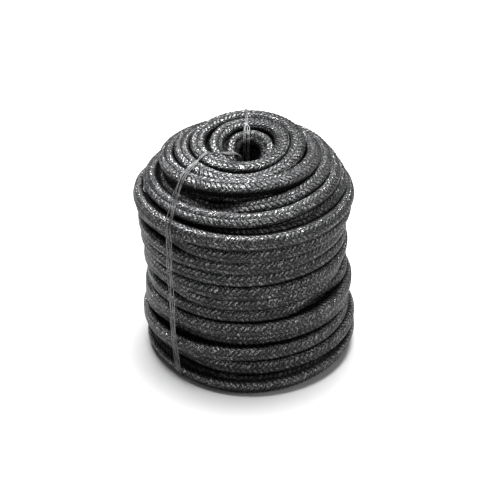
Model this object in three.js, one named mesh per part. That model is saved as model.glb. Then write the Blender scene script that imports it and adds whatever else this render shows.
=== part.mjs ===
import * as THREE from 'three';

// Sizes in millimetres, +Z up, the front of the coil towards -Y
const PACKING_SIDE = 14;
const BORE_TURN_RADIUS = 17.5;
const BORE_PITCH = 0.958 * PACKING_SIDE;
const BORE_BASE_HEIGHT = 10;

const TIE_DIAMETER = 2.2;
const THREAD_DIAMETER = 1.4;
const THREAD_CLEARANCE = 0.3;
const TIE_CLEARANCE = 0.95;
const TIE_HOLLOW_CLEARANCE = 2.2;
const TIE_END_GAP = 2.5;

const STATIONS = 32;
const YARN_SIDES = 8;
const TIE_STEPS = 80;
const THREAD_STEPS = 8;
const BORE_TURNS = 12;
const BASE_TURNS = 4;

// Open face of a turn as shares of the packing's side, along the wall and out of it
const FACE_POINTS = [[-0.4, 0.3], [-0.22, 0.5], [0.22, 0.5], [0.4, 0.3]];
const FACE_REACH = Math.hypot(0.22, 0.5);
const GROOVE_LIFT = 0.13;
const FREE_SPACING = 0.93;

// One turn a row, as seen from the front: facing angle in degrees, then packing sides
// out from the bore turns and up, at its right, its front, its left and its back
const TOP_TURNS = [
  [155, 0, 12.7, 0, 12.3, -0.25, 13.4, -0.08, 13.8],
  [125, 0.09, 13.7, 0.54, 13.1, 0.71, 13.7, 0.93, 14.1],
  [90, 0.94, 14.25, 1.6, 13.8, 1.72, 13.86, 1.9, 14.2],
  [75, 1.85, 14.1, 2.39, 13.43, 2.61, 13.65, 2.68, 13.39],
  [65, 2.82, 13.5, 3.2, 13.5, 3.6, 13.05, 3.55, 12.95],
  [55, 3.5, 13, 3.64, 12.35, 3.57, 12, 4.25, 12.25],
  [45, 4.04, 12.36, 4.34, 11.95, 4.54, 11.85, 4.75, 11.46],
  [24, 4.46, 11.64, 3.9, 11.1, 3.9, 11.1, 4.96, 10.6],
  [15, 4.91, 10.95, 5, 10.86, 5.26, 10.96, 5, 9.79],
];
const SIDE_TURNS = [
  [0, 4.79, 10.11, 4.85, 9.98, 5.19, 10.1, 4.9, 8.95],
  [0, 4.54, 9.21, 4.81, 9.07, 5.04, 9.18, 4.85, 8.11],
  [0, 4.52, 8.32, 4.67, 8.18, 4.94, 8.24, 4.8, 7.27],
  [0, 4.6, 7.43, 4.74, 7.25, 4.75, 7.3, 4.9, 6.44],
  [0, 4.39, 6.54, 4.56, 6.32, 4.81, 6.34, 4.8, 5.6],
  [0, 4.69, 5.64, 4.5, 5.46, 4.59, 5.38, 4.75, 4.76],
  [0, 4.96, 4.75, 4.84, 4.64, 4.77, 4.42, 4.9, 3.92],
  [0, 4.83, 3.86, 4.5, 3.77, 4.8, 3.46, 4.9, 3.08],
  [0, 4.84, 2.96, 4.98, 2.93, 4.94, 2.5, 4.85, 2.25],
  [-5, 5.22, 2.07, 4.6, 1.62, 4.7, 1.6, 4.9, 1.41],
  [-30, 5.23, 1.18, 5.12, 0.6, 4.72, 0.7, 4.75, 0.54],
];

// Places where a turn has slipped inwards: turns along the winding, reach in turns, packing sides in and down
const DENTS = [
  [17.06, 0.045, 0.4, 0.4], [21.15, 0.06, 0.5, 0], [25.16, 0.06, 0.5, 0],
  [25.86, 0.05, 0.5, 0], [28.13, 0.08, 0.45, 0], [30.13, 0.08, 0.4, 0], [31.13, 0.09, 0.25, 0],
];

// The upper bore turns lean: from which turn on, and how much more each rises at the back
const LEAN_FROM = 7;
const LEAN_RISE = 0.21 * PACKING_SIDE;

// Where the ties touch the coil: turn, direction from its centre and angle round the coil, in degrees
const FRONT_TIE_STATIONS = [3, 4, 5, 6];
const FRONT_TIE_TOUCHES = [
  [6, 180, -147], [10, 180, -147], [11, 175, -147], [12.03, 160, -147], [12.03, 142, -147],
  [12.03, 120, -147], [14, 135, -146], [14, 108, -145], [14, 80, -144], [15, 70, -141],
  [16, 58, -138], [18, 55, -135.5], [18, 30, -134.5], [20, 20, -132.5], [20, 0, -132],
  [29, 0, -131], [31, 0, -131], [31, -25, -131], [31, -50, -131], [31, -75, -131.5],
  [35, -90, -140], [35, -118, -142], [0, 248, -145], [0, 222, -147], [0, 190, -147],
];
const BACK_TIE_STATIONS = [16];
const BACK_TIE_TOUCHES = [
  [6, 180, 90], [9, 180, 90], [11, 180, 90], [12, 165, 90], [12, 142, 90], [12, 115, 90],
  [12, 92, 90], [13, 112, 90], [14, 100, 90], [14, 72, 90], [15, 62, 90], [16, 58, 90], [17, 50, 90],
  [17, 35, 90], [18, 25, 90], [20, 15, 90], [20, 0, 90], [29, 0, 90], [30, 0, 90],
  [30, -28, 90], [31, -12, 90], [31, -40, 90], [31, -65, 90], [31, -88, 90], [35, -90, 90],
  [35, -118, 90], [35, -130, 90], [35, -145, 90], [35, -160, 90], [0, 200, 90],
];
const THREAD_TOUCHES = [[18, 25, -172], [18, -8, -170.5], [20, 100, -168], [20, 130, -165.5]];

const TIE_BASE_HEIGHT = 0.25 + TIE_DIAMETER / 2;
const BASE_HOLLOW = TIE_BASE_HEIGHT + TIE_DIAMETER / 2 + TIE_HOLLOW_CLEARANCE;

// Angle round the coil at any number of turns along the winding, whole turns lying at the front
function turnAngle(s) {
  return -Math.PI / 2 - 2 * Math.PI * s;
}

// Radius and height at the right, front, left and back of every visible turn in order:
// up the bore, out over the top, down the side, in under the base
function makeQuarterTurns() {
  const quarters = [];
  for (let s = -0.25; s < BORE_TURNS - 0.25; s += 0.25) {
    const lean = Math.max(0, s - LEAN_FROM) * LEAN_RISE * (1 + Math.sin(turnAngle(s))) / 2;
    quarters.push([BORE_TURN_RADIUS, BORE_BASE_HEIGHT + BORE_PITCH * s + lean]);
  }
  for (const [, ...places] of [...TOP_TURNS, ...SIDE_TURNS]) {
    for (let i = 0; i < places.length; i += 2) {
      quarters.push([BORE_TURN_RADIUS + places[i] * PACKING_SIDE, places[i + 1] * PACKING_SIDE]);
    }
  }
  const outermost = quarters[quarters.length - 3][0];
  const pitch = (outermost - BORE_TURN_RADIUS) / (BASE_TURNS + 1);
  for (let s = 0.75; s < BASE_TURNS + 0.75; s += 0.25) {
    quarters.push([outermost - pitch * s, PACKING_SIDE / 2]);
  }
  return quarters;
}

function makeFaces() {
  const bore = new Array(BORE_TURNS).fill(180);
  bore[0] = 215;
  const shown = [...TOP_TURNS, ...SIDE_TURNS].map((row) => row[0]);
  return [...bore, ...shown, ...new Array(BASE_TURNS).fill(-90)];
}

const QUARTER_TURNS = makeQuarterTurns();
const FACES = makeFaces();
const TURN_COUNT = FACES.length;

function facingAngle(s) {
  const whole = Math.floor(s);
  const from = (whole % TURN_COUNT + TURN_COUNT) % TURN_COUNT;
  const to = (from + 1) % TURN_COUNT;
  const next = FACES[to] - (to === 0 ? 360 : 0);
  return THREE.MathUtils.degToRad(FACES[from] + (next - FACES[from]) * (s - whole));
}

// Radius and height on a smooth line through the quarter turns, the last leading back into the first
function windingAt(s) {
  const count = QUARTER_TURNS.length;
  const place = 4 * s + 1;
  const whole = Math.floor(place);
  const t = place - whole;
  const [a, b, c, d] = [-1, 0, 1, 2].map((step) => QUARTER_TURNS[((whole + step) % count + count) % count]);
  const [radius, height] = [0, 1].map((i) => b[i] + t / 2 * (c[i] - a[i]
    + t * (2 * a[i] - 5 * b[i] + 4 * c[i] - d[i] + t * (3 * (b[i] - c[i]) + d[i] - a[i]))));
  const point = new THREE.Vector2(radius, height);
  for (const [centre, reach, inward, down] of DENTS) {
    const share = PACKING_SIDE * Math.exp(-(((s - centre) / reach) ** 2));
    point.x -= inward * share;
    point.y -= down * share;
  }
  return point;
}

// Centre and outward direction of one turn in the plane that cuts the coil there
function sectionAt(s) {
  const angle = facingAngle(s);
  return {
    centre: windingAt(s),
    out: new THREE.Vector2(Math.cos(angle), Math.sin(angle)),
    along: new THREE.Vector2(Math.sin(angle), -Math.cos(angle)),
  };
}

// Outline of one turn's open face, with the groove that parts it from the turn before
function turnProfile(s) {
  const before = sectionAt(s - 1);
  const here = sectionAt(s);
  const after = sectionAt(s + 1);
  const gapBefore = here.centre.distanceTo(before.centre);
  const gapAfter = here.centre.distanceTo(after.centre);
  const lift = PACKING_SIDE * GROOVE_LIFT - Math.max(0, gapBefore - PACKING_SIDE) * 0.8;
  const groove = before.centre.clone().add(here.centre).multiplyScalar(0.5);
  groove.addScaledVector(before.out, lift / 2).addScaledVector(here.out, lift / 2);
  const profile = [groove];
  for (const [along, outward] of FACE_POINTS) {
    const gap = along < 0 ? gapBefore : gapAfter;
    const squeeze = Math.min(1, gap / (FREE_SPACING * PACKING_SIDE));
    const point = here.centre.clone();
    point.addScaledVector(here.along, along * squeeze * PACKING_SIDE);
    profile.push(point.addScaledVector(here.out, outward * PACKING_SIDE));
  }
  return profile;
}

function aroundAxis(theta, point) {
  return new THREE.Vector3(point.x * Math.cos(theta), point.x * Math.sin(theta), point.y);
}

// The wound packing as one closed body whose skin shows every turn, each running on into the next
function makeCoil() {
  const perTurn = FACE_POINTS.length + 1;
  const ring = TURN_COUNT * perTurn;
  const hollows = [...FRONT_TIE_STATIONS, ...BACK_TIE_STATIONS];
  const points = [];
  for (let i = 0; i < STATIONS; i += 1) {
    const floor = hollows.includes(i) ? BASE_HOLLOW : 0;
    for (let k = 0; k < TURN_COUNT; k += 1) {
      for (const point of turnProfile(k + i / STATIONS)) {
        point.y = Math.max(floor, point.y);
        points.push(aroundAxis(turnAngle(i / STATIONS), point));
      }
    }
  }
  const indices = [];
  for (let i = 0; i < STATIONS; i += 1) {
    const next = (i + 1) % STATIONS;
    const slip = next === 0 ? perTurn : 0;
    for (let j = 0; j < ring; j += 1) {
      const a = i * ring + j;
      const b = i * ring + (j + 1) % ring;
      const c = next * ring + (j + slip) % ring;
      const d = next * ring + (j + slip + 1) % ring;
      indices.push(a, c, b, b, c, d);
    }
  }
  const geometry = new THREE.BufferGeometry().setFromPoints(points);
  geometry.setIndex(indices);
  geometry.computeVertexNormals();
  return geometry;
}

// Yarn as a closed tube along a route
function makeYarn(points, diameter, steps) {
  const section = new THREE.Shape();
  for (let i = 0; i < YARN_SIDES; i += 1) {
    const angle = 2 * Math.PI * i / YARN_SIDES;
    const x = Math.cos(angle) * diameter / 2;
    const y = Math.sin(angle) * diameter / 2;
    if (i === 0) section.moveTo(x, y);
    else section.lineTo(x, y);
  }
  section.closePath();
  const path = new THREE.CatmullRomCurve3(points, false, 'centripetal');
  return new THREE.ExtrudeGeometry(section, { steps, extrudePath: path });
}

// Centre line of yarn that touches a turn from one direction, at an angle round the coil
function touchPoint([turn, degrees, around], diameter, clearance) {
  const theta = THREE.MathUtils.degToRad(around);
  const share = THREE.MathUtils.euclideanModulo(-90 - around, 360) / 360;
  const direction = THREE.MathUtils.degToRad(degrees);
  const reach = FACE_REACH * PACKING_SIDE + clearance + diameter / 2;
  const { centre } = sectionAt(turn + share);
  centre.x += reach * Math.cos(direction);
  centre.y += reach * Math.sin(direction);
  return aroundAxis(theta, centre);
}

// A tie goes up the bore, over the top, down the side and back under the base
function makeTie(touches) {
  const points = touches.map((touch) => touchPoint(touch, TIE_DIAMETER, TIE_CLEARANCE));
  for (const point of points) point.z = Math.max(TIE_BASE_HEIGHT, point.z);
  const start = points[0].clone();
  start.z = BORE_BASE_HEIGHT + 2 * BORE_PITCH;
  const end = start.clone();
  end.z -= TIE_END_GAP;
  return makeYarn([start, ...points, end], TIE_DIAMETER, TIE_STEPS);
}

function makeThread() {
  const points = THREAD_TOUCHES.map((touch) => touchPoint(touch, THREAD_DIAMETER, THREAD_CLEARANCE));
  return makeYarn(points, THREAD_DIAMETER, THREAD_STEPS);
}

function addPiece(group, name, geometry, color, roughness) {
  const material = new THREE.MeshStandardMaterial({ color, roughness, metalness: 0.2 });
  const mesh = new THREE.Mesh(geometry, material);
  mesh.name = name;
  group.add(mesh);
}

const group = new THREE.Group();
addPiece(group, 'packing_coil', makeCoil(), 0x2e2f31, 0.6);
addPiece(group, 'tie_front_left', makeTie(FRONT_TIE_TOUCHES), 0x6d6e70, 0.5);
addPiece(group, 'tie_back', makeTie(BACK_TIE_TOUCHES), 0x6d6e70, 0.5);
addPiece(group, 'tie_left', makeThread(), 0x6d6e70, 0.5);

export default group;
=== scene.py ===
import math

import bpy
import numpy as np
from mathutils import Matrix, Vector


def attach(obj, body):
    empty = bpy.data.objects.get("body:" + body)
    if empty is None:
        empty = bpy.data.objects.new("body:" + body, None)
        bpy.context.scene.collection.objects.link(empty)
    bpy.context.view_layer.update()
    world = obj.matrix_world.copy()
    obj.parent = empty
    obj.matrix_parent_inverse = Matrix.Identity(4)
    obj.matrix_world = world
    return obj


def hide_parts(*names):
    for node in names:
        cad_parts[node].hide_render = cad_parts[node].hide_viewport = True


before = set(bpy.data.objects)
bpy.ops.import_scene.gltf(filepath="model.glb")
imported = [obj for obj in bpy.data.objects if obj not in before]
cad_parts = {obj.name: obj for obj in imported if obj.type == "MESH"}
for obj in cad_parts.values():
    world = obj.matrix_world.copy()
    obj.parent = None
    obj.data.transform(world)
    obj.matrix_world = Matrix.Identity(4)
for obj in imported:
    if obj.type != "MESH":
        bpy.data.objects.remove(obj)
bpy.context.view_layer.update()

# The packing and the shape of its coil, the same values as the CAD part
SIDE = 0.014
BORE_TURN_RADIUS = 0.0175
BORE_PITCH = 0.958 * SIDE
BORE_BASE_HEIGHT = 0.010
BORE_TURNS = 12
BASE_TURNS = 4

# Facing angles of the turns that aren't in the tables, in degrees up from straight outwards
LOWEST_BORE_FACE = 215
BORE_FACE = 180
BASE_FACE = -90

# One turn a row, as seen from the front: facing angle in degrees, then packing sides
# out from the bore turns and up, at its right, its front, its left and its back
TOP_TURNS = [
    [155, 0, 12.7, 0, 12.3, -0.25, 13.4, -0.08, 13.8],
    [125, 0.09, 13.7, 0.54, 13.1, 0.71, 13.7, 0.93, 14.1],
    [90, 0.94, 14.25, 1.6, 13.8, 1.72, 13.86, 1.9, 14.2],
    [75, 1.85, 14.1, 2.39, 13.43, 2.61, 13.65, 2.68, 13.39],
    [65, 2.82, 13.5, 3.2, 13.5, 3.6, 13.05, 3.55, 12.95],
    [55, 3.5, 13, 3.64, 12.35, 3.57, 12, 4.25, 12.25],
    [45, 4.04, 12.36, 4.34, 11.95, 4.54, 11.85, 4.75, 11.46],
    [24, 4.46, 11.64, 3.9, 11.1, 3.9, 11.1, 4.96, 10.6],
    [15, 4.91, 10.95, 5, 10.86, 5.26, 10.96, 5, 9.79],
]
SIDE_TURNS = [
    [0, 4.79, 10.11, 4.85, 9.98, 5.19, 10.1, 4.9, 8.95],
    [0, 4.54, 9.21, 4.81, 9.07, 5.04, 9.18, 4.85, 8.11],
    [0, 4.52, 8.32, 4.67, 8.18, 4.94, 8.24, 4.8, 7.27],
    [0, 4.6, 7.43, 4.74, 7.25, 4.75, 7.3, 4.9, 6.44],
    [0, 4.39, 6.54, 4.56, 6.32, 4.81, 6.34, 4.8, 5.6],
    [0, 4.69, 5.64, 4.5, 5.46, 4.59, 5.38, 4.75, 4.76],
    [0, 4.96, 4.75, 4.84, 4.64, 4.77, 4.42, 4.9, 3.92],
    [0, 4.83, 3.86, 4.5, 3.77, 4.8, 3.46, 4.9, 3.08],
    [0, 4.84, 2.96, 4.98, 2.93, 4.94, 2.5, 4.85, 2.25],
    [-5, 5.22, 2.07, 4.6, 1.62, 4.7, 1.6, 4.9, 1.41],
    [-30, 5.23, 1.18, 5.12, 0.6, 4.72, 0.7, 4.75, 0.54],
]

# Places where a turn has slipped inwards: turns along the winding, reach in turns,
# then packing sides in and down
DENTS = [
    [17.06, 0.045, 0.4, 0.4], [21.15, 0.06, 0.5, 0], [25.16, 0.06, 0.5, 0],
    [25.86, 0.05, 0.5, 0], [28.13, 0.08, 0.45, 0], [30.13, 0.08, 0.4, 0], [31.13, 0.09, 0.25, 0],
]

# From this turn up, each turn of the bore leans a little further up at the back
LEAN_FROM = 7
LEAN_RISE = 0.21 * SIDE

# Slow unevenness along the rope: waves a turn, their phases, and how far it moves and tilts the rope
WAVES = (0.71, 1.37, 2.83, 4.61)
PHASE_BY_SEED = 2.1
PHASE_BY_WAVE = 1.7
STRAY = 0.00025
TILT_DEGREES = 3.0

# Section: a square with round corners, which overlaps the next turn by a little where they press
SECTION_POWER = 3.3
PRESS_OVERLAP = 1.03

# Braid: a strand every BRAID_PITCH along the rope, leaning by BRAID_LEAN pitches across half a
# face. STRAND_DIVE is how far a strand sinks at its ends and STRAND_SEAT how deep all of it sits,
# as shares of its height
BRAID_PITCH = 0.0044
BRAID_LEAN = 0.95
STRAND_HEIGHT = 0.0006
STRAND_DIVE = 0.7
STRAND_SEAT = 0.6

# Points of the mesh along a strand, and round the rope
STRAND_SAMPLES = 4
SMOOTH_SAMPLES = 2
HIDDEN_SAMPLES = 1
HALF_FACE_SAMPLES = 4
AROUND = 8 * HALF_FACE_SAMPLES
TABLE_STEPS_PER_TURN = 144

# Layout for baking: the rope cut into strips side by side, where each strip's faces start and
# how far they go, as shares of its width and length, and the end caps in a row below them
STRIPS_FACTOR = 10
STRIP_START = 0.03
STRIP_WIDTH = 0.94
ROW_START = 0.005
ROW_LENGTH = 0.99
CAP_START = 0.0005
CAP_REACH = 0.003

# An end cap's triangles in the braid's own layout, and their width as a share of a face's
BRAID_CAP_START = 0.2
BRAID_CAP_REACH = 0.3
CAP_WIDTH = 0.8

# The rope's stretches: name, first and last turn, points along a strand, height of a strand
# and depth under the skin
STRETCHES = [
    ("packing_bore", 0.0, 12.0, SMOOTH_SAMPLES, 0.0, 0.0),
    ("packing_top", 12.0, 20.0, STRAND_SAMPLES, STRAND_HEIGHT, 0.0),
    ("packing_side_upper", 20.0, 25.5, STRAND_SAMPLES, STRAND_HEIGHT, 0.0),
    ("packing_side_lower", 25.5, 31.5, STRAND_SAMPLES, STRAND_HEIGHT, 0.0),
    ("packing_base", 31.5, 36.0, SMOOTH_SAMPLES, 0.0, 0.0),
    ("packing_inner", 1.0, 31.0, HIDDEN_SAMPLES, 0.0, 0.0132),
    ("packing_core", 3.0, 10.0, HIDDEN_SAMPLES, 0.0, 0.0264),
]

# Where the ties touch the coil: turn, direction from its centre and angle round the coil, in degrees
FRONT_TIE_TOUCHES = [
    [6, 180, -147], [10, 180, -147], [11, 175, -147], [12.03, 160, -147], [12.03, 142, -147],
    [12.03, 120, -147], [14, 135, -146], [14, 108, -145], [14, 80, -144], [15, 70, -141],
    [16, 58, -138], [18, 55, -135.5], [18, 30, -134.5], [20, 20, -132.5], [20, 0, -132],
    [29, 0, -131], [31, 0, -131], [31, -25, -131], [31, -50, -131], [31, -75, -131.5],
    [35, -90, -140], [35, -118, -142], [0, 248, -145], [0, 222, -147], [0, 190, -147],
]
BACK_TIE_TOUCHES = [
    [6, 180, 90], [9, 180, 90], [11, 180, 90], [12, 165, 90], [12, 142, 90], [12, 115, 90],
    [12, 92, 90], [13, 112, 90], [14, 100, 90], [14, 72, 90], [15, 62, 90], [16, 58, 90],
    [17, 50, 90], [17, 35, 90], [18, 25, 90], [20, 15, 90], [20, 0, 90], [29, 0, 90],
    [30, 0, 90], [30, -28, 90], [31, -12, 90], [31, -40, 90], [31, -65, 90], [31, -88, 90],
    [35, -90, 90], [35, -118, 90], [35, -130, 90], [35, -145, 90], [35, -160, 90], [0, 200, 90],
]
THREAD_TOUCHES = [[18, 25, -172], [18, -8, -170.5], [20, 100, -168], [20, 130, -165.5]]

# Ties: from a turn's centre to the tie's, their strands, and half their width where pulled tight
TIE_OFFSET = SIDE * 0.535 + 0.0006
TIE_BASE_HEIGHT = 0.00135
TIE_MEETING_HEIGHT = BORE_BASE_HEIGHT + 2 * BORE_PITCH
TIE_END_GAP = 0.0025
TIE_STRANDS = 4
TIE_STRAND_RADIUS = 0.00042
TIE_TURNS_PER_METRE = 45.0
TIE_SPACING = 0.0015
TIE_TIGHT = 0.0011
FRONT_TIE_WIDE = 0.0026
BACK_TIE_WIDE = 0.0025

# Ties spread out on the coil's side and in the top of the bore, each over a short way
SIDE_FROM_RADIUS = 0.050
SIDE_FADE = 0.018
BORE_TO_RADIUS = 0.024
BORE_FADE = 0.005
BORE_FROM_HEIGHT = 0.1
BORE_HEIGHT_FADE = 0.02

# A tie's strands are twisted where it is tight and lie flat, side by side, where it is wide
FLAT_FROM = 0.0009
FLAT_FADE = 0.0006
TWIST_DEPTH = 0.7
STRAND_FLOOR_GAP = 0.0002
STRAND_SIDES = 6

# A direction that no strand starts in
SKEW_DIRECTION = [0.3, 0.5, 0.81]

# How a flat strand strays: size, rate a metre and phase by strand. The first two are shares of
# the tie's width, and the last is in metres off the coil
SLOW_WANDER = (0.16, 95, 2.4)
FINE_WANDER = (0.08, 310, 5.1)
LIFT_WANDER = (0.0003, 120, 1.9)

# The loose thread at the left
THREAD_OFFSET = SIDE * 0.53 + 0.0006
THREAD_STRANDS = 3
THREAD_STRAND_RADIUS = 0.0003
THREAD_SPREAD = 0.0005
THREAD_TURNS_PER_METRE = 90.0
THREAD_SPACING = 0.0008

# Colours
# Painted shade, black, in the grooves between the strands
GROOVE_PAINTED_SHADE = (0.001, 0.001, 0.001, 1)
GRAPHITE = (0.042, 0.0424, 0.0434, 1)
GLINT = (0.9, 0.905, 0.92, 1)
YARN_DARK = (0.012, 0.012, 0.012, 1)
YARN_LIGHT = (0.3, 0.3, 0.307, 1)
FLOOR_GREY = (0.64, 0.64, 0.64, 1)
SEEN_BACKGROUND = (1, 1, 1, 1)
ROOM_LIGHT = (0.95, 0.97, 1.0, 1)

# Camera at the photograph's angle
TARGET = Vector((0.003, 0.0, 0.0903))
ELEVATION = math.radians(32)
DISTANCE = 1.33
LENS = 107.3
SENSOR_WIDTH = 36

# Studio: each lamp's name, place, size and power, all turned to the same point, and the floor
LIGHTS = [
    ("top_light", (0.0, 0.2, 1.3), 1.0, 55),
    ("front_light", (0.3, -1.4, 0.9), 0.9, 2),
    ("right_light", (1.2, -0.5, 0.7), 0.8, 5),
]
LIT_POINT = Vector((0, 0, 0.1))
ROOM_LIGHT_STRENGTH = 0.08
FLOOR_RADIUS = 1.1
FLOOR_SIDES = 96


# Lines and directions
def unit(vectors):
    """The same directions, one unit long."""
    return vectors / np.linalg.norm(vectors, axis=-1, keepdims=True)


def step_lengths(points):
    return np.linalg.norm(np.diff(points, axis=0), axis=1)


def run_along(points):
    """Distance from the first point to each point, along the line."""
    return np.concatenate([[0], np.cumsum(step_lengths(points))])


def fade(value, reach):
    """0 up to zero, 1 from the reach on, and straight between."""
    return np.clip(value / reach, 0, 1)


# The winding. Along it, s counts turns from the bottom of the bore
def turn_angle(s):
    """Angle round the coil in radians: 0 at the right, and minus a quarter turn at the front."""
    return -math.pi / 2 - 2 * math.pi * np.asarray(s, float)


def make_quarter_turns():
    """Radius and height at the right, front, left and back of every turn of the skin in order."""
    quarters = []
    for i in range(4 * BORE_TURNS):
        s = (i - 1) / 4
        lean = max(0, s - LEAN_FROM) * LEAN_RISE * (1 + math.sin(turn_angle(s))) / 2
        quarters.append([BORE_TURN_RADIUS, BORE_BASE_HEIGHT + BORE_PITCH * s + lean])
    for row in TOP_TURNS + SIDE_TURNS:
        for i in range(1, len(row), 2):
            quarters.append([BORE_TURN_RADIUS + row[i] * SIDE, row[i + 1] * SIDE])
    outermost = quarters[-3][0]
    pitch = (outermost - BORE_TURN_RADIUS) / (BASE_TURNS + 1)
    for i in range(4 * BASE_TURNS):
        quarters.append([outermost - pitch * (i + 3) / 4, SIDE / 2])
    return np.array(quarters)


def make_faces():
    """Facing angle of every turn of the skin in order."""
    bore = [LOWEST_BORE_FACE] + [BORE_FACE] * (BORE_TURNS - 1)
    return np.array(bore + [row[0] for row in TOP_TURNS + SIDE_TURNS] + [BASE_FACE] * BASE_TURNS)


QUARTER_TURNS = make_quarter_turns()
FACES = make_faces()
TURN_COUNT = len(FACES)


def facing_angle(s):
    """Direction in which the rope's outer face looks, in degrees up from straight outwards."""
    s = np.asarray(s, float)
    whole = np.floor(s).astype(int)
    here = FACES[whole % TURN_COUNT]
    after = FACES[(whole + 1) % TURN_COUNT] - np.where((whole + 1) % TURN_COUNT == 0, 360, 0)
    return here + (after - here) * (s - whole)


def winding(s):
    """Radius and height on a smooth line through the quarter turns."""
    s = np.asarray(s, float)
    place = 4 * s + 1
    whole = np.floor(place).astype(int)
    t = (place - whole)[..., None]
    a, b, c, d = (QUARTER_TURNS[(whole + step) % len(QUARTER_TURNS)] for step in (-1, 0, 1, 2))
    point = b + t / 2 * (c - a + t * (2 * a - 5 * b + 4 * c - d + t * (3 * (b - c) + d - a)))
    for centre, reach, inward, down in DENTS:
        share = SIDE * np.exp(-((s - centre) / reach) ** 2)[..., None]
        point = point - share * np.array([inward, down])
    return point


def wobble(s, seed, size):
    """A slow, small unevenness along the rope."""
    total = np.zeros_like(np.asarray(s, float))
    for i, rate in enumerate(WAVES):
        wave = np.sin(2 * math.pi * rate * s + seed * PHASE_BY_SEED + i * PHASE_BY_WAVE)
        total += wave / (1 + i * 0.5)
    return total * size


def section(s, depth=0.0):
    """Centre, outward and along-wall directions of the rope, in space, at each s."""
    s = np.asarray(s, float)
    face = np.radians(facing_angle(s) + wobble(s, 3, TILT_DEGREES))
    theta = turn_angle(s)
    cos, sin = np.cos(theta), np.sin(theta)
    place = winding(s)
    radius = place[..., 0] + wobble(s, 1, STRAY) - depth * np.cos(face)
    height = place[..., 1] + wobble(s, 2, STRAY) - depth * np.sin(face)
    centre = np.stack([radius * cos, radius * sin, height], -1)
    out = np.stack([np.cos(face) * cos, np.cos(face) * sin, np.sin(face)], -1)
    along = np.stack([np.sin(face) * cos, np.sin(face) * sin, -np.cos(face)], -1)
    return centre, out, along


def gap_between(s, step):
    """Distance from the rope to its neighbour one turn on or back."""
    here, there = winding(s), winding(np.asarray(s) + step)
    return np.hypot(here[..., 0] - there[..., 0], here[..., 1] - there[..., 1])


# Length along the rope against turns, from a turn before the skin to a turn after it
TABLE_S = np.linspace(-1, TURN_COUNT + 1, (TURN_COUNT + 2) * TABLE_STEPS_PER_TURN + 1)
TABLE_LENGTH = run_along(section(TABLE_S)[0])


def length_at(s):
    return np.interp(s, TABLE_S, TABLE_LENGTH)


def turns_at(length):
    return np.interp(length, TABLE_LENGTH, TABLE_S)


# Meshes
def add_mesh(name, tubes, uv_sets, material):
    """One object of closed tubes, each given as its points, quads and cap triangles."""
    vertices, quads, caps, count = [], [], [], 0
    for points, tube_quads, tube_caps in tubes:
        vertices.append(points)
        quads.append(tube_quads + count)
        caps.append(tube_caps + count)
        count += len(points)
    faces = np.vstack(quads).tolist() + np.vstack(caps).tolist()
    mesh = bpy.data.meshes.new(name)
    mesh.from_pydata(np.vstack(vertices).tolist(), [], faces)
    for uv_name, uv in uv_sets:
        layer = mesh.uv_layers.new(name=uv_name)
        layer.data.foreach_set("uv", np.asarray(uv, np.float32).ravel())
    smooth = sum(len(q) for q in quads)
    mesh.polygons.foreach_set("use_smooth", [k < smooth for k in range(len(faces))])
    mesh.materials.append(material)
    mesh.update()
    obj = bpy.data.objects.new(name, mesh)
    bpy.context.scene.collection.objects.link(obj)
    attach(obj, "root")
    return obj


def close_tube(rings):
    """Points, quads and cap triangles of a tube through rings of points, closed at both ends."""
    count, around = rings.shape[:2]
    points = np.vstack([rings.reshape(-1, 3), rings[0].mean(0), rings[-1].mean(0)])
    j, i = np.meshgrid(np.arange(count - 1), np.arange(around), indexing="ij")
    here, ahead = j * around, (j + 1) * around
    after = (i + 1) % around
    quads = np.stack([here + i, ahead + i, ahead + after, here + after], -1)
    first = np.arange(around)
    second = (first + 1) % around
    last = (count - 1) * around
    start = np.stack([first, second, np.full(around, count * around)], -1)
    end = np.stack([last + second, last + first, np.full(around, count * around + 1)], -1)
    return points, quads.reshape(-1, 4), np.vstack([start, end])


def face_corners(ahead, ahead_size, aside, aside_size, cap_aside, cap_ahead, cap_reach):
    """Two coordinates at each corner of a tube's quads, then of its cap triangles."""
    quads = np.stack([
        np.stack([ahead, aside], -1),
        np.stack([ahead + ahead_size, aside], -1),
        np.stack([ahead + ahead_size, aside + aside_size], -1),
        np.stack([ahead, aside + aside_size], -1),
    ], 1)
    width = CAP_WIDTH * (cap_aside[1] - cap_aside[0])
    near = np.full(len(cap_aside), cap_ahead)
    caps = np.stack([
        np.stack([near, cap_aside], -1),
        np.stack([near, cap_aside + width], -1),
        np.stack([near + cap_reach, cap_aside + width / 2], -1),
    ], 1)
    return np.vstack([quads.reshape(-1, 2), caps.reshape(-1, 2)])


def braid_uv_sets(first_ring, last_ring, samples, turns):
    """Where each face lies in the braid, and in a layout of strips side by side for baking."""
    rings = last_ring - first_ring
    ahead, aside = (x.ravel() for x in np.meshgrid(
        np.arange(rings), np.arange(AROUND), indexing="ij"))
    cap = np.arange(2 * AROUND)

    crossing = (ahead + first_ring) / samples + (aside // HALF_FACE_SAMPLES % 2) * 0.5
    braid = face_corners(crossing, 1 / samples, aside / HALF_FACE_SAMPLES, 1 / HALF_FACE_SAMPLES,
                         cap / HALF_FACE_SAMPLES, BRAID_CAP_START, BRAID_CAP_REACH)

    # A longer stretch has more strips, so that its faces keep about the same shape
    strips = max(2, int(round(math.sqrt(turns * STRIPS_FACTOR))))
    strip_rings = math.ceil(rings / strips)
    strip = ahead // strip_rings
    x = (strip + STRIP_START + STRIP_WIDTH * aside / AROUND) / strips
    y = ROW_START + ROW_LENGTH * (ahead - strip * strip_rings) / strip_rings
    baked = face_corners(y, ROW_LENGTH / strip_rings, x, STRIP_WIDTH / AROUND / strips,
                         cap / len(cap), CAP_START, CAP_REACH)
    return [("Braid", braid), ("OFBake", baked[:, ::-1])]


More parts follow.
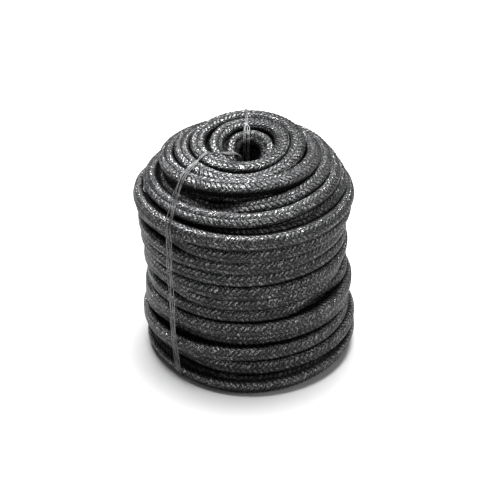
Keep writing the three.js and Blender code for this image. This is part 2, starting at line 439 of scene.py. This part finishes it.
def rope_rings(first_ring, last_ring, samples, height, depth):
    """Rings of points round the rope, which follow the strands instead of going straight round."""
    ring = np.arange(first_ring, last_ring + 1)[:, None]
    v = (np.arange(AROUND) / HALF_FACE_SAMPLES)[None, :]
    lean = BRAID_LEAN * (1 - np.abs(v % 2 - 1))
    s = turns_at((ring / samples - lean) * BRAID_PITCH)
    centre, out, along = section(s, depth)

    # A square with round corners, pressed in where the next turns are less than a side away
    angle = v * math.pi / 4 + np.zeros_like(s)
    cos, sin = np.cos(angle), np.sin(angle)
    power = SECTION_POWER
    reach = SIDE / 2 / (np.abs(cos) ** power + np.abs(sin) ** power) ** (1 / power)
    half_gap = np.where(sin > 0, gap_between(s, 1), gap_between(s, -1)) / 2 + depth
    squeeze = np.minimum(1, half_gap * PRESS_OVERLAP / (SIDE / 2))

    # Strands, highest along their middles and sunk at their ends, where others cross them
    swap = (np.floor(v) % 2) * 0.5
    across = np.abs(((ring / samples + swap) % 1) * 2 - 1)
    dive = np.abs((v % 1) * 2 - 1)
    reach = reach + height * ((1 - across ** 2) * (1 - STRAND_DIVE * dive ** 4) - STRAND_SEAT)
    points = centre + along * (reach * sin * squeeze)[..., None] + out * (reach * cos)[..., None]
    points[..., 2] = np.maximum(points[..., 2], 0.0)
    return points


def make_rope(name, first, last, samples, height, depth, material):
    """A stretch of the braided rope, and the line through its middle."""
    first_ring = int(round(length_at(first) / BRAID_PITCH)) * samples
    last_ring = int(round(length_at(last) / BRAID_PITCH)) * samples
    points = rope_rings(first_ring, last_ring, samples, height, depth)
    uv_sets = braid_uv_sets(first_ring, last_ring, samples, last - first)
    obj = add_mesh(name, [close_tube(points)], uv_sets, material)
    strands = np.arange(first_ring, last_ring + 1, samples) / samples
    route = section(turns_at((strands - BRAID_LEAN / 2) * BRAID_PITCH), depth)[0]
    return obj, route


# Yarn
def smooth_route(points, spacing, steps=24):
    """Evenly spaced points on a smooth curve through the given ones."""
    points = np.asarray(points, float)
    padded = np.vstack([2 * points[0] - points[1], points, 2 * points[-1] - points[-2]])
    fine = []
    for k in range(1, len(padded) - 2):
        p0, p1, p2, p3 = padded[k - 1:k + 3]
        d0, d1, d2 = (max(1e-6, np.linalg.norm(b - a) ** 0.5)
                      for a, b in ((p0, p1), (p1, p2), (p2, p3)))
        m1 = d1 * ((p1 - p0) / d0 - (p2 - p0) / (d0 + d1) + (p2 - p1) / d1)
        m2 = d1 * ((p2 - p1) / d1 - (p3 - p1) / (d1 + d2) + (p3 - p2) / d2)
        for t in np.linspace(0, 1, steps, endpoint=False):
            fine.append((2 * t**3 - 3 * t**2 + 1) * p1 + (t**3 - 2 * t**2 + t) * m1
                        + (3 * t**2 - 2 * t**3) * p2 + (t**3 - t**2) * m2)
    fine = np.array(fine + [points[-1]])
    run = run_along(fine)
    even = np.linspace(0, run[-1], max(3, int(run[-1] / spacing)))
    return np.stack([np.interp(even, run, fine[:, i]) for i in range(3)], 1)


def touch_point(touch, distance):
    """Point in space off a turn's centre, in a given direction, at an angle round the coil."""
    turn, degrees, around = touch
    place = winding(turn + (-90 - around) % 360 / 360)
    radius = place[0] + distance * math.cos(math.radians(degrees))
    height = place[1] + distance * math.sin(math.radians(degrees))
    theta = math.radians(around)
    return [radius * math.cos(theta), radius * math.sin(theta), height]


def tie_points(touches):
    """A tie's way round the coil, from the place in the bore where its two ends meet and back."""
    points = [touch_point(touch, TIE_OFFSET) for touch in touches]
    for point in points:
        point[2] = max(TIE_BASE_HEIGHT, point[2])
    start = [points[0][0], points[0][1], TIE_MEETING_HEIGHT]
    end = [points[0][0], points[0][1], TIE_MEETING_HEIGHT - TIE_END_GAP]
    return [start] + points + [end]


def tie_spread(route, wide):
    """Half the tie's width at each point of its route."""
    radius = np.hypot(route[:, 0], route[:, 1])
    on_side = fade(radius - SIDE_FROM_RADIUS, SIDE_FADE)
    in_bore = fade(BORE_TO_RADIUS - radius, BORE_FADE)
    in_bore = in_bore * fade(route[:, 2] - BORE_FROM_HEIGHT, BORE_HEIGHT_FADE)
    return TIE_TIGHT + (wide - TIE_TIGHT) * np.maximum(on_side, in_bore)


def tube(centres, radius):
    """A strand of even thickness along the centres."""
    tangent = unit(np.gradient(centres, axis=0))
    normal = np.zeros_like(tangent)
    normal[0] = unit(np.cross(tangent[0], SKEW_DIRECTION))
    for k in range(1, len(tangent)):
        normal[k] = unit(normal[k - 1] - tangent[k] * np.dot(normal[k - 1], tangent[k]))
    binormal = np.cross(tangent, normal)
    angle = (np.arange(STRAND_SIDES) * 2 * math.pi / STRAND_SIDES)[None, :, None]
    rings = (centres[:, None, :] + radius * (np.cos(angle) * normal[:, None, :]
                                            - np.sin(angle) * binormal[:, None, :]))
    return close_tube(rings)


def wander(run, strand, size, rate, phase):
    return size * np.sin(run * rate + strand * phase)


def bundle(name, route, spread, twist, radius, strands, material):
    """A tie of loose strands: twisted where its spread is small, side by side where it is wide."""
    tangent = unit(np.gradient(route, axis=0))
    theta = np.arctan2(route[:, 1], route[:, 0])
    sideways = np.stack([-np.sin(theta), np.cos(theta), np.zeros_like(theta)], -1)
    sideways = unit(sideways - tangent * (sideways * tangent).sum(1)[:, None])
    outward = np.cross(sideways, tangent)
    run = run_along(route)
    flat = fade(spread - FLAT_FROM, FLAT_FADE)
    tubes = []
    for k in range(strands):
        angle = 2 * math.pi * (k / strands + run * twist)
        lane = (k - (strands - 1) / 2) / ((strands - 1) / 2)
        lane = lane + (wander(run, k, *SLOW_WANDER) + wander(run, k, *FINE_WANDER))
        side = (1 - flat) * np.cos(angle) * spread + flat * lane * spread
        lift = (1 - flat) * np.sin(angle) * spread * TWIST_DEPTH + flat * wander(run, k, *LIFT_WANDER)
        centres = route + sideways * side[:, None] + outward * lift[:, None]
        centres[:, 2] = np.maximum(centres[:, 2], radius + STRAND_FLOOR_GAP)
        tubes.append(tube(centres, radius))
    return add_mesh(name, tubes, [], material)


# Material helpers
def set_socket(tree, socket, value):
    """Links a node's output to the socket, or sets its plain value."""
    if isinstance(value, bpy.types.NodeSocket):
        tree.links.new(value, socket)
    else:
        socket.default_value = value


def node(tree, kind, inputs=None, **settings):
    """A new node with its settings made and its inputs set or linked."""
    made = tree.nodes.new(kind)
    for key, value in settings.items():
        setattr(made, key, value)
    for key, value in (inputs or {}).items():
        set_socket(tree, made.inputs[key], value)
    return made


def maths(tree, operation, a, b=0.0):
    made = node(tree, "ShaderNodeMath", {0: a, 1: b}, operation=operation)
    return made.outputs[0]


def product(tree, first, *others):
    for other in others:
        first = maths(tree, "MULTIPLY", first, other)
    return first


def scaled(tree, value, factor, start):
    """start + value * factor"""
    return maths(tree, "ADD", start, maths(tree, "MULTIPLY", value, factor))


def ridge(tree, value):
    """1 at whole numbers and 0 halfway between them."""
    double = maths(tree, "MULTIPLY", maths(tree, "FRACT", value), 2.0)
    return maths(tree, "ABSOLUTE", maths(tree, "SUBTRACT", double, 1.0))


def noise(tree, place, scale, detail, roughness):
    made = node(tree, "ShaderNodeTexNoise", {
        "Vector": place, "Scale": scale, "Detail": detail, "Roughness": roughness})
    return made.outputs[0]


def ramp(tree, value, stops):
    """Greys given at some values, and mixed between them."""
    made = node(tree, "ShaderNodeValToRGB", {"Fac": value})
    ends = made.color_ramp.elements
    while len(ends) < len(stops):
        ends.new(0.5)
    for end, (place, grey) in zip(ends, stops):
        end.position = place
        end.color = (grey, grey, grey, 1)
    return made.outputs[0]


def mix_colour(tree, share, a, b):
    """Colour a, turning to b as the share goes from 0 to 1."""
    made = node(tree, "ShaderNodeMix", data_type="RGBA")
    for name, value in (("Factor", share), ("A", a), ("B", b)):
        socket = next(x for x in made.inputs if x.name == name and x.enabled)
        set_socket(tree, socket, value)
    return next(x for x in made.outputs if x.enabled)


def new_material(name):
    material = bpy.data.materials.new(name)
    material.use_nodes = True
    material.node_tree.nodes.clear()
    return material, material.node_tree


# Materials
def packing_painted_shade(tree, off_side, place, normal):
    """Painted shade on the graphite, as a share of its colour: low where turns touch, on faces that
    look down and on faces turned into the bore.
    """
    # Painted shade on the sides of the rope that face the next turns
    painted_shade_at_sides = ramp(tree, off_side, [(0.1, 0.12), (0.36, 1.0)])
    # Painted shade on faces that look down, full colour on faces that look up
    upward = node(tree, "ShaderNodeSeparateXYZ", {"Vector": normal}).outputs[2]
    painted_shade_underneath = ramp(tree, scaled(tree, upward, 0.5, 0.5), [(0.25, 0.3), (0.5, 0.7), (0.72, 1.0)])
    # Painted shade on faces turned in towards the bore
    level = node(tree, "ShaderNodeVectorMath", {0: place, 1: (1, 1, 0)}, operation="MULTIPLY")
    level = node(tree, "ShaderNodeVectorMath", {0: level.outputs[0]}, operation="NORMALIZE")
    outward = node(tree, "ShaderNodeVectorMath", {
        0: level.outputs[0], 1: normal}, operation="DOT_PRODUCT").outputs["Value"]
    painted_shade_in_bore = ramp(tree, scaled(tree, outward, 0.5, 0.5), [(0.1, 0.25), (0.4, 1.0)])
    return product(tree, painted_shade_at_sides, painted_shade_underneath, painted_shade_in_bore)


def make_packing_material():
    """Dark graphite braid: grooves between the strands, flecks along them and fine glints, with
    painted shade in the grooves, where turns touch, underneath and in the bore, and a painted
    highlight on the corners.
    """
    material, tree = new_material("graphite_packing")
    coordinates = node(tree, "ShaderNodeTexCoord")
    place, normal = coordinates.outputs["Object"], coordinates.outputs["Normal"]
    uv = node(tree, "ShaderNodeUVMap", uv_map="Braid")
    braid = node(tree, "ShaderNodeSeparateXYZ", {"Vector": uv.outputs[0]})
    u = scaled(tree, noise(tree, place, 260.0, 2.0, 0.6), 0.65, braid.outputs[0])
    v = braid.outputs[1]

    # Each strand is highest along its middle and dives under others at its ends
    crown = maths(tree, "SUBTRACT", 1.0, maths(tree, "POWER", ridge(tree, u), 3.0))
    over = scaled(tree, maths(tree, "POWER", ridge(tree, v), 8.0), -0.6, 1.0)
    height = product(tree, crown, over)

    strand = node(tree, "ShaderNodeCombineXYZ", {
        "X": maths(tree, "FLOOR", u), "Y": maths(tree, "FLOOR", v), "Z": 0.0})
    strand_noise = node(tree, "ShaderNodeTexWhiteNoise", {
        "Vector": strand.outputs[0]}, noise_dimensions="3D").outputs[0]
    fibre_place = node(tree, "ShaderNodeCombineXYZ", {
        "X": product(tree, u, 6.5), "Y": product(tree, v, 2.2), "Z": 0.0})
    fibres = noise(tree, fibre_place.outputs[0], 1.0, 3.0, 0.65)
    glints = noise(tree, place, 800.0, 2.0, 0.7)
    patches = noise(tree, place, 45.0, 3.0, 0.55)

    # Painted highlight on the corners between a face and the sides that touch other turns
    off_side = ridge(tree, product(tree, v, 0.25))
    painted_corner_highlight = ramp(tree, off_side, [(0.3, 0.0), (0.5, 1.0), (0.8, 0.0)])
    # Painted shade: the graphite's colour is darkened where turns touch, on faces that look down and
    # on faces turned into the bore
    painted_shade_share = packing_painted_shade(tree, off_side, place, normal)

    # Share of bright metallic flecks and glints, kept to the strands' crowns, raised by the painted
    # corner highlight and lowered by the painted shade
    fleck = ramp(tree, fibres, [(0.52, 0.0), (0.64, 1.0)])
    spark = ramp(tree, glints, [(0.56, 0.0), (0.66, 1.0)])
    light = maths(tree, "MAXIMUM", product(tree, fleck, 0.42), spark)
    light = product(tree, light, maths(tree, "POWER", height, 1.3),
                    maths(tree, "ADD", 0.45, strand_noise),
                    scaled(tree, painted_corner_highlight, 0.9, 0.55), painted_shade_share)
    # Graphite's colour: black painted shade in the grooves between strands, random fibre and patch
    # tone, and the painted shade where turns touch, underneath and in the bore
    shade = product(tree, ramp(tree, height, [(0.0, 0.0), (0.3, 0.4), (0.65, 1.0)]),
                    scaled(tree, fibres, 1.1, 0.4), maths(tree, "ADD", 0.5, patches), painted_shade_share)
    base = mix_colour(tree, shade, GROOVE_PAINTED_SHADE, GRAPHITE)

    relief = scaled(tree, fibres, 0.8, height)
    relief = scaled(tree, glints, 0.5, relief)
    relief = scaled(tree, strand_noise, 0.3, relief)
    bump = node(tree, "ShaderNodeBump", {"Height": relief, "Strength": 1.0, "Distance": 0.0008})
    surface = node(tree, "ShaderNodeBsdfPrincipled", {
        "Base Color": mix_colour(tree, light, base, GLINT),
        "Roughness": scaled(tree, light, -0.24, 0.44),
        "Metallic": 0.88, "Specular IOR Level": 0.3, "Normal": bump.outputs[0]})
    node(tree, "ShaderNodeOutputMaterial", {"Surface": surface.outputs[0]})
    return material


def make_yarn_material():
    """Grey glossy yarn, streaked along its fibres."""
    material, tree = new_material("graphite_yarn")
    place = node(tree, "ShaderNodeTexCoord").outputs["Object"]
    fibres = noise(tree, place, 800.0, 3.0, 0.65)
    patches = noise(tree, place, 110.0, 2.0, 0.5)
    shade = product(tree, fibres, maths(tree, "ADD", 0.5, patches))
    share = ramp(tree, shade, [(0.32, 0.0), (0.7, 1.0)])
    bump = node(tree, "ShaderNodeBump", {"Height": fibres, "Strength": 0.8, "Distance": 0.0003})
    surface = node(tree, "ShaderNodeBsdfPrincipled", {
        "Base Color": mix_colour(tree, share, YARN_DARK, YARN_LIGHT),
        "Roughness": scaled(tree, fibres, 0.25, 0.3),
        "Metallic": 0.4, "Normal": bump.outputs[0]})
    node(tree, "ShaderNodeOutputMaterial", {"Surface": surface.outputs[0]})
    return material


def make_floor_material():
    material, tree = new_material("floor")
    surface = node(tree, "ShaderNodeBsdfPrincipled", {"Base Color": FLOOR_GREY, "Roughness": 0.9})
    node(tree, "ShaderNodeOutputMaterial", {"Surface": surface.outputs[0]})
    return material


# Studio
def add_camera():
    camera = bpy.data.objects.new("camera", bpy.data.cameras.new("camera"))
    bpy.context.scene.collection.objects.link(camera)
    camera.data.sensor_width = SENSOR_WIDTH
    camera.data.lens = LENS
    back = Vector((0, -math.cos(ELEVATION), math.sin(ELEVATION)))
    camera.location = TARGET + back * DISTANCE
    camera.rotation_euler = (math.pi / 2 - ELEVATION, 0, 0)
    camera.data.clip_start = 0.05
    camera.data.clip_end = 50
    camera.data.dof.use_dof = False
    bpy.context.scene.camera = camera


def add_light(name, place, size, power):
    light = bpy.data.lights.new(name, "AREA")
    light.shape = "DISK"
    light.size = size
    light.energy = power
    obj = bpy.data.objects.new(name, light)
    obj.location = place
    direction = LIT_POINT - Vector(place)
    obj.rotation_euler = direction.to_track_quat("-Z", "Y").to_euler()
    bpy.context.scene.collection.objects.link(obj)


def add_floor():
    """A round floor, large enough for the shadow and cut off where it would darken the background."""
    angles = [2 * math.pi * k / FLOOR_SIDES for k in range(FLOOR_SIDES)]
    rim = [(FLOOR_RADIUS * math.cos(angle), FLOOR_RADIUS * math.sin(angle), 0) for angle in angles]
    mesh = bpy.data.meshes.new("floor")
    mesh.from_pydata(rim, [], [tuple(range(FLOOR_SIDES))])
    mesh.materials.append(make_floor_material())
    floor = bpy.data.objects.new("floor", mesh)
    bpy.context.scene.collection.objects.link(floor)


def add_world():
    """White behind the object, and a faint even light from all round."""
    world = bpy.data.worlds.new("studio")
    bpy.context.scene.world = world
    world.use_nodes = True
    tree = world.node_tree
    tree.nodes.clear()
    rays = node(tree, "ShaderNodeLightPath")
    seen = node(tree, "ShaderNodeBackground", {"Color": SEEN_BACKGROUND, "Strength": 1.0})
    lit = node(tree, "ShaderNodeBackground", {"Color": ROOM_LIGHT, "Strength": ROOM_LIGHT_STRENGTH})
    both = node(tree, "ShaderNodeMixShader", {
        0: rays.outputs["Is Camera Ray"], 1: lit.outputs[0], 2: seen.outputs[0]})
    node(tree, "ShaderNodeOutputWorld", {"Surface": both.outputs[0]})


# The rope, in stretches of the skin that run on into one another, then the turns under the skin
packing = make_packing_material()
for name, first, last, samples, height, depth in STRETCHES:
    obj, route = make_rope(name, first, last, samples, height, depth, packing)
    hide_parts("packing_coil")

# The ties and the loose thread
yarn = make_yarn_material()
for node_name, touches, wide in (
    ("tie_front_left", FRONT_TIE_TOUCHES, FRONT_TIE_WIDE),
    ("tie_back", BACK_TIE_TOUCHES, BACK_TIE_WIDE),
):
    route = smooth_route(tie_points(touches), TIE_SPACING)
    obj = bundle(node_name + "_yarn", route, tie_spread(route, wide), TIE_TURNS_PER_METRE,
                 TIE_STRAND_RADIUS, TIE_STRANDS, yarn)
    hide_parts(node_name)

thread_points = [touch_point(touch, THREAD_OFFSET) for touch in THREAD_TOUCHES]
thread_route = smooth_route(thread_points, THREAD_SPACING)
thread = bundle("tie_left_thread", thread_route, np.full(len(thread_route), THREAD_SPREAD),
                THREAD_TURNS_PER_METRE, THREAD_STRAND_RADIUS, THREAD_STRANDS, yarn)
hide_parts("tie_left")

add_camera()
for light_settings in LIGHTS:
    add_light(*light_settings)
add_floor()
add_world()
bpy.context.scene.view_settings.view_transform = "Standard"
